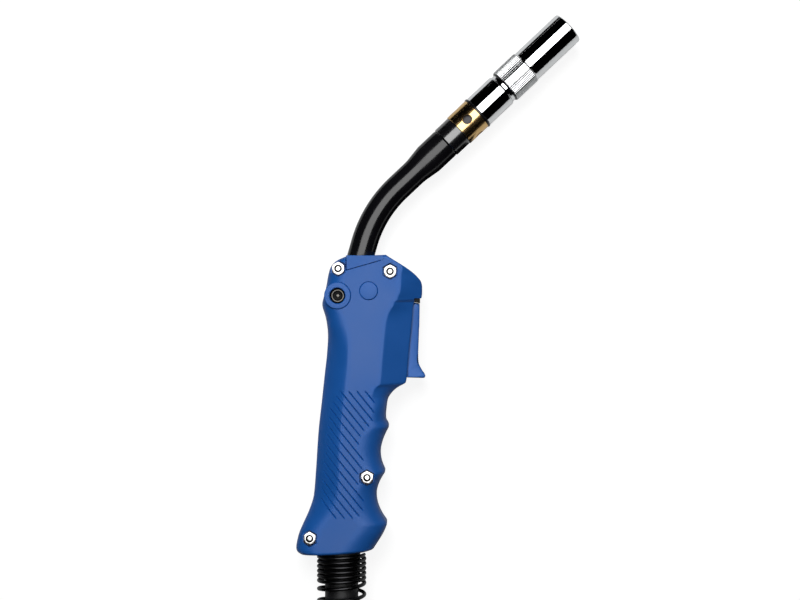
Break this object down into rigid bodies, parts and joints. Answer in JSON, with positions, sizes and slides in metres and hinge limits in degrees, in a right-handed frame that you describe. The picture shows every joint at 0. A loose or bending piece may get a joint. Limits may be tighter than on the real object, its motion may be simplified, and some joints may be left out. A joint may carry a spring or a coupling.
{
  "type": "mig welding torch",
  "caption": "Air-cooled MIG welding torch: pistol handle with trigger, bent neck, gas nozzle, coiled power cable and central connector.",
  "frame": {"origin": "on the flat far side of the handle, which the torch lies on, beside the trigger", "axes": "+X from the back of the handle to the trigger, +Y up the handle to the neck, +Z away from the surface that the torch lies on"},
  "size_m": [0.2878, 0.7164, 0.048],
  "materials": {
    "handle_blue": "moulded nylon, satin",
    "trigger_blue": "moulded nylon, satin",
    "chrome": "polished nickel-chrome plate",
    "steel": "zinc-plated steel",
    "brass": "turned brass",
    "copper": "copper",
    "black_rubber": "matt rubber",
    "black_plastic": "satin black insulation",
    "black_steel": "black-oxide spring steel",
    "dark_plastic": "dark grey moulding",
    "cream_ceramic": "pressed ceramic",
    "red_plastic": "moulded"
  },
  "bodies": {
    "torch": {"nozzle_adaptor": "chrome", "nozzle_insulator": "black_plastic", "gas_ring": "brass", "gas_ring_core": "dark_plastic", "front_sleeve": "black_plastic", "contact_tip": "copper", "tip_holder": "brass", "gas_diffuser": "cream_ceramic", "neck_jacket": "black_plastic", "neck_tube": "copper", "wire_liner": "steel", "handle_near_shell": "handle_blue", "handle_far_shell": "handle_blue", "shell_screws": "steel", "shell_nuts": "steel", "neck_clamp": "brass", "neck_clamp_screw": "black_steel", "trigger_pin": "steel", "trigger_spring": "steel", "switch_body": "dark_plastic", "switch_screws": "steel", "switch_leads": "red_plastic", "power_block": "brass", "inner_hose": "black_rubber", "conductor_braid": "copper", "crimp_ferrule": "steel", "cable_in_handle": "black_rubber", "spring_seat": "black_plastic", "strain_spring": "black_steel", "cable": "black_rubber", "cable_coil": "black_rubber", "coil_strap": "black_plastic", "cable_tail": "black_rubber", "plug_spring": "black_steel", "plug_hood": "black_plastic", "plug_hood_screw": "steel", "plug_body": "brass", "plug_disc": "dark_plastic", "plug_guide_tube": "steel", "plug_liner_nut": "brass", "plug_gas_nipple": "brass", "plug_gas_seal": "black_rubber", "plug_pin_spring_a": "steel", "plug_pin_spring_b": "steel"},
    "nozzle": {"nozzle_shell": "chrome"},
    "trigger": {"trigger": "trigger_blue"},
    "plunger": {"switch_plunger": "red_plastic"},
    "coupling_nut": {"plug_nut": "black_plastic"},
    "contact_a": {"plug_contact_pin_a": "brass"},
    "contact_b": {"plug_contact_pin_b": "brass"}
  },
  "joints": [
    {"name": "trigger_press", "type": "hinge", "parent": "torch", "child": "trigger", "pos_m": [0.0265, 0.0125, 0.018], "axis": [0, 0, -1], "range_deg": [0, 5], "stiffness_Nm_per_rad": 2, "springref_deg": -2.86, "deforming": ["trigger_spring"]},
    {"name": "switch_click", "type": "slide", "parent": "torch", "child": "plunger", "axis": [-1, 0, 0], "range_m": [0, 0.0017]},
    {"name": "nozzle_turn", "type": "hinge", "parent": "torch", "child": "nozzle", "pos_m": [0.1073, 0.16773, 0.018], "axis": [0.7278, 0.6858, 0], "continuous": true},
    {"name": "coupling_nut_turn", "type": "hinge", "parent": "torch", "child": "coupling_nut", "pos_m": [-0.014, -0.49, 0.024], "axis": [0, -1, 0], "continuous": true},
    {"name": "contact_a_press", "type": "slide", "parent": "torch", "child": "contact_a", "axis": [0, 1, 0], "range_m": [0, 0.003], "stiffness_N_per_m": 300, "springref_m": -0.002, "deforming": ["plug_pin_spring_a"]},
    {"name": "contact_b_press", "type": "slide", "parent": "torch", "child": "contact_b", "axis": [0, 1, 0], "range_m": [0, 0.003], "stiffness_N_per_m": 300, "springref_m": -0.002, "deforming": ["plug_pin_spring_b"]}
  ],
  "couplings": [
    {"joint": "switch_click", "follows": "trigger_press", "m_per_rad": 0.0185}
  ]
}
